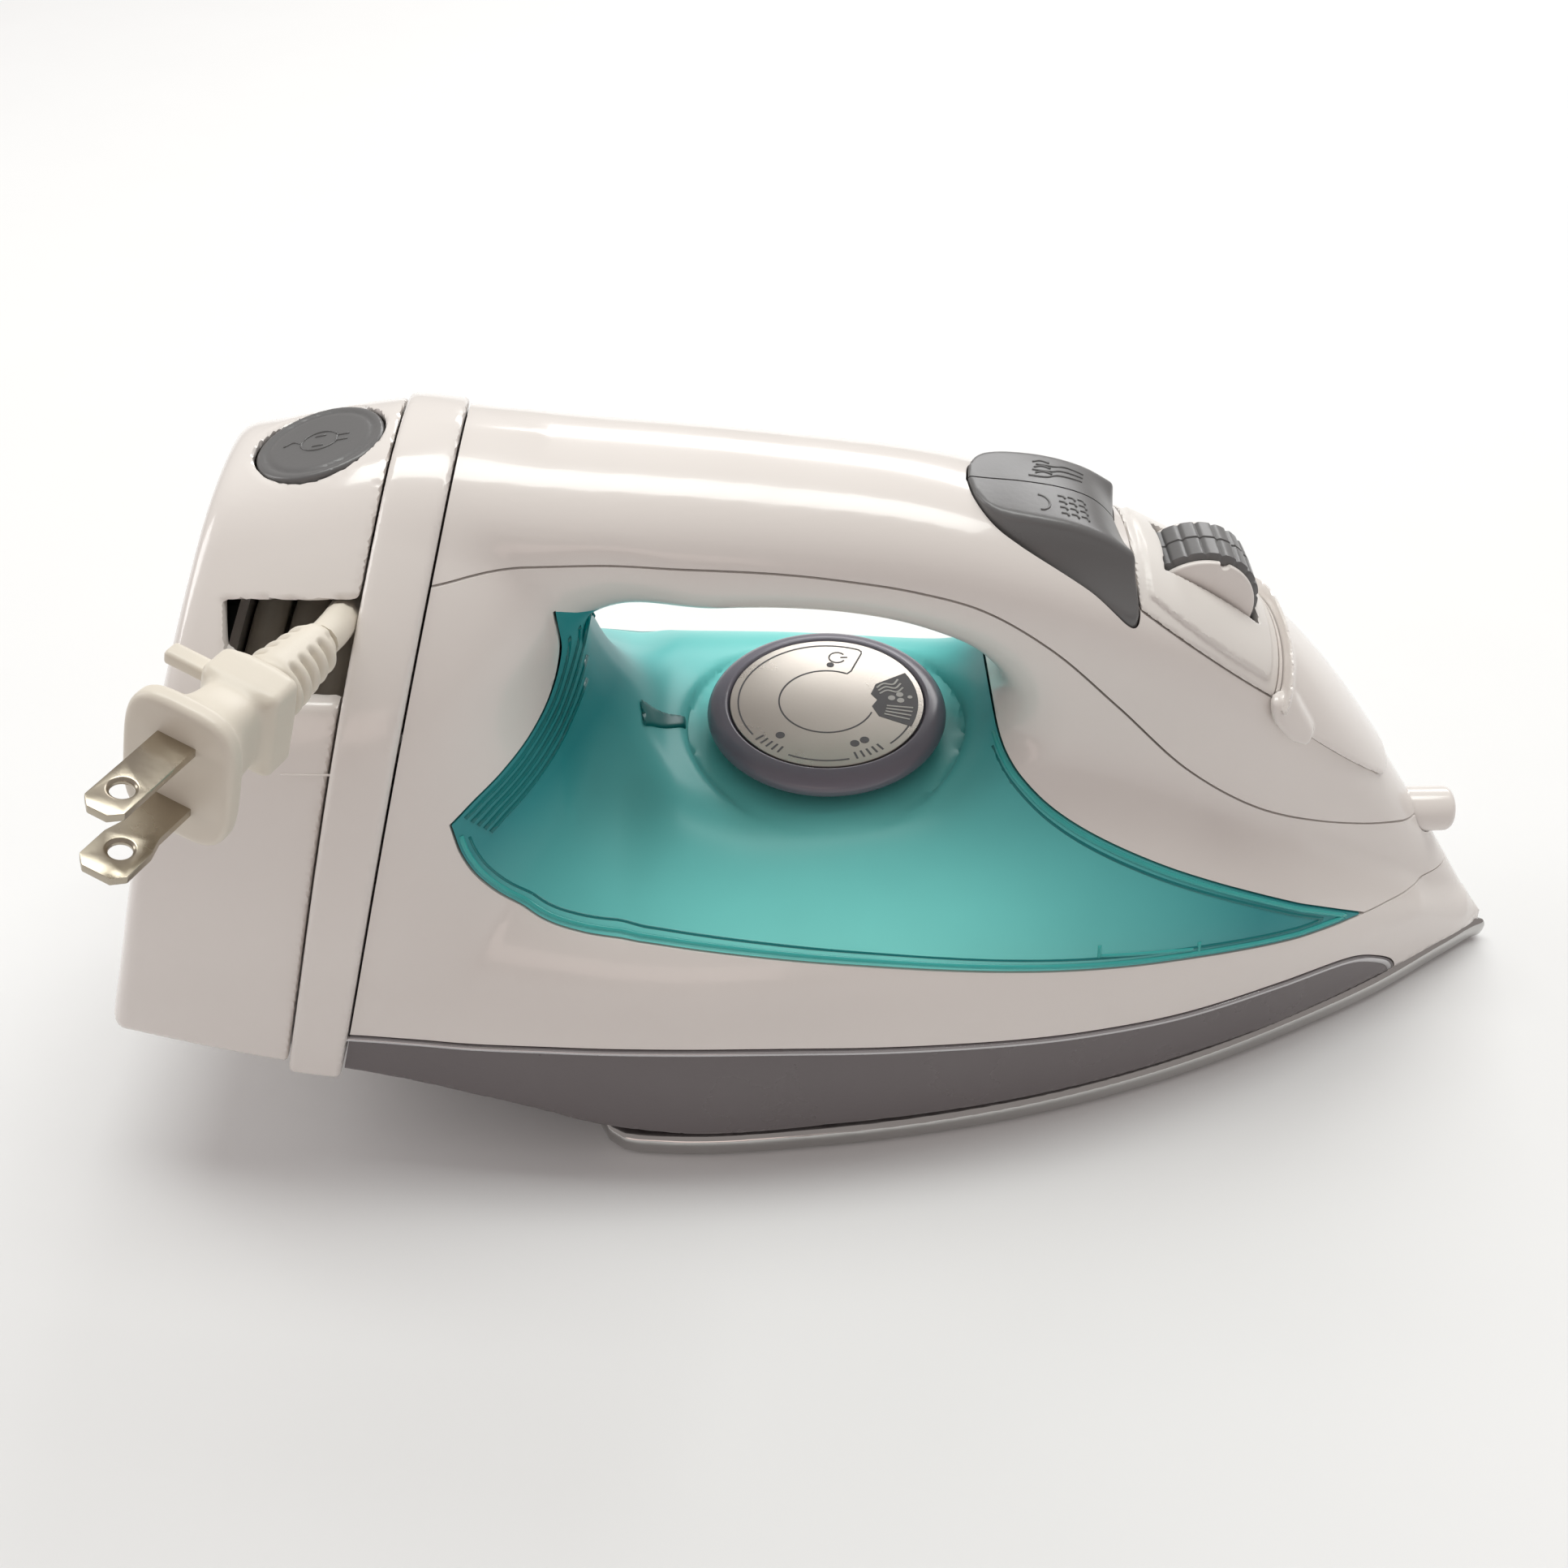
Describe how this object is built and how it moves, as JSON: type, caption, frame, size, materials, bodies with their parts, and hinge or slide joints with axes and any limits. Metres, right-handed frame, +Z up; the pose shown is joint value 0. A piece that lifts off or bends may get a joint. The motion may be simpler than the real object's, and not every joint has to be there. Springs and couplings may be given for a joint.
{
  "type": "clothes iron",
  "caption": "Steam iron with a see-through water tank, temperature dial, spray and steam buttons, and a cord that winds into its heel.",
  "frame": {"origin": "on the soleplate's underside, on the middle plane, below the middle of the iron's length", "axes": "+X towards the nose, +Y to the iron's left, +Z up out of the soleplate"},
  "size_m": [0.3046, 0.1516, 0.1445],
  "materials": {
    "white_gloss": "gloss",
    "cream": "satin",
    "grey_satin": "satin",
    "dark_grey": "satin",
    "teal_clear": "translucent gloss",
    "polished_steel": "polished",
    "cast_aluminium": "as cast",
    "steel": "satin",
    "nickel": "satin",
    "brass": "satin",
    "silicone": "matte",
    "black_plastic": "matte",
    "label_metal": "brushed"
  },
  "bodies": {
    "housing": {"body_shell": "white_gloss", "handle_cover": "white_gloss", "collar_band": "white_gloss", "reel_housing": "white_gloss", "skirt_trim": "dark_grey", "soleplate": "polished_steel", "water_tank": "teal_clear", "heater_casting": "cast_aluminium", "heating_element": "steel", "chamber_lid": "steel", "thermostat": "steel", "thermal_fuse": "silicone", "valve_seat": "brass", "valve_seal": "silicone", "terminal_block": "black_plastic", "wire_live": "black_plastic", "wire_neutral": "silicone", "spray_pump": "white_gloss", "spray_spring": "steel", "steam_pump": "white_gloss", "steam_spring": "steel", "spray_hose": "silicone", "steam_hose": "silicone", "control_panel": "white_gloss", "wheel_axle": "steel", "fill_neck": "white_gloss", "spray_nozzle": "white_gloss", "reel_axle": "steel", "cord_winding": "cream", "spring_case": "black_plastic", "reel_spring": "steel", "brush_block": "black_plastic", "brake_pin": "steel", "plug_relief": "cream", "plug_body": "cream", "plug_blade_live": "nickel", "plug_blade_neutral": "nickel", "cord_lead": "cream"},
    "dial": {"dial_ring": "dark_grey", "dial_label": "label_metal", "dial_spindle": "black_plastic"},
    "steam_wheel": {"steam_wheel": "white_gloss", "wheel_grip": "grey_satin"},
    "valve": {"valve_rod": "brass"},
    "spray_trigger": {"spray_button": "grey_satin", "spray_piston": "white_gloss"},
    "steam_trigger": {"steam_button": "grey_satin", "steam_piston": "white_gloss"},
    "fill_flap": {"fill_door": "white_gloss"},
    "cord_release": {"cord_button": "grey_satin"},
    "brake": {"brake_arm": "black_plastic"},
    "reel": {"reel_drum": "white_gloss", "slip_ring": "brass"}
  },
  "joints": [
    {"name": "dial_turn", "type": "hinge", "parent": "housing", "child": "dial", "pos_m": [-0.0035, 0, 0.074], "axis": [0, 0, 1], "range_deg": [-182, 101]},
    {"name": "wheel_turn", "type": "hinge", "parent": "housing", "child": "steam_wheel", "pos_m": [0.067, 0, 0.1045], "axis": [0, 1, 0], "range_deg": [-45, 45]},
    {"name": "valve_lift", "type": "slide", "parent": "housing", "child": "valve", "axis": [0, 0, 1], "range_m": [-0.0015, 0.0015]},
    {"name": "spray_press", "type": "slide", "parent": "housing", "child": "spray_trigger", "axis": [0, 0, -1], "range_m": [0, 0.0035], "stiffness_N_per_m": 600, "springref_m": -0.001, "deforming": ["spray_spring"]},
    {"name": "steam_press", "type": "slide", "parent": "housing", "child": "steam_trigger", "axis": [0, 0, -1], "range_m": [0, 0.0035], "stiffness_N_per_m": 600, "springref_m": -0.001, "deforming": ["steam_spring"]},
    {"name": "flap_open", "type": "hinge", "parent": "housing", "child": "fill_flap", "pos_m": [0.1134, 0, 0.0644], "axis": [0, 1, 0], "range_deg": [0, 70]},
    {"name": "cord_release_press", "type": "slide", "parent": "housing", "child": "cord_release", "axis": [0, 0, -1], "range_m": [0, 0.0035], "stiffness_N_per_m": 500, "springref_m": -0.001},
    {"name": "brake_rock", "type": "hinge", "parent": "housing", "child": "brake", "pos_m": [-0.098, 0.008, 0.121], "axis": [0, 1, 0], "range_deg": [0, 26]},
    {"name": "reel_spin", "type": "hinge", "parent": "housing", "child": "reel", "pos_m": [-0.1126, 0, 0.072], "axis": [0.9578, 0, -0.2873], "continuous": true}
  ],
  "couplings": [
    {"joint": "wheel_turn", "follows": "valve_lift", "rad_per_m": 523.59},
    {"joint": "brake_rock", "follows": "cord_release_press", "rad_per_m": 129.64}
  ]
}
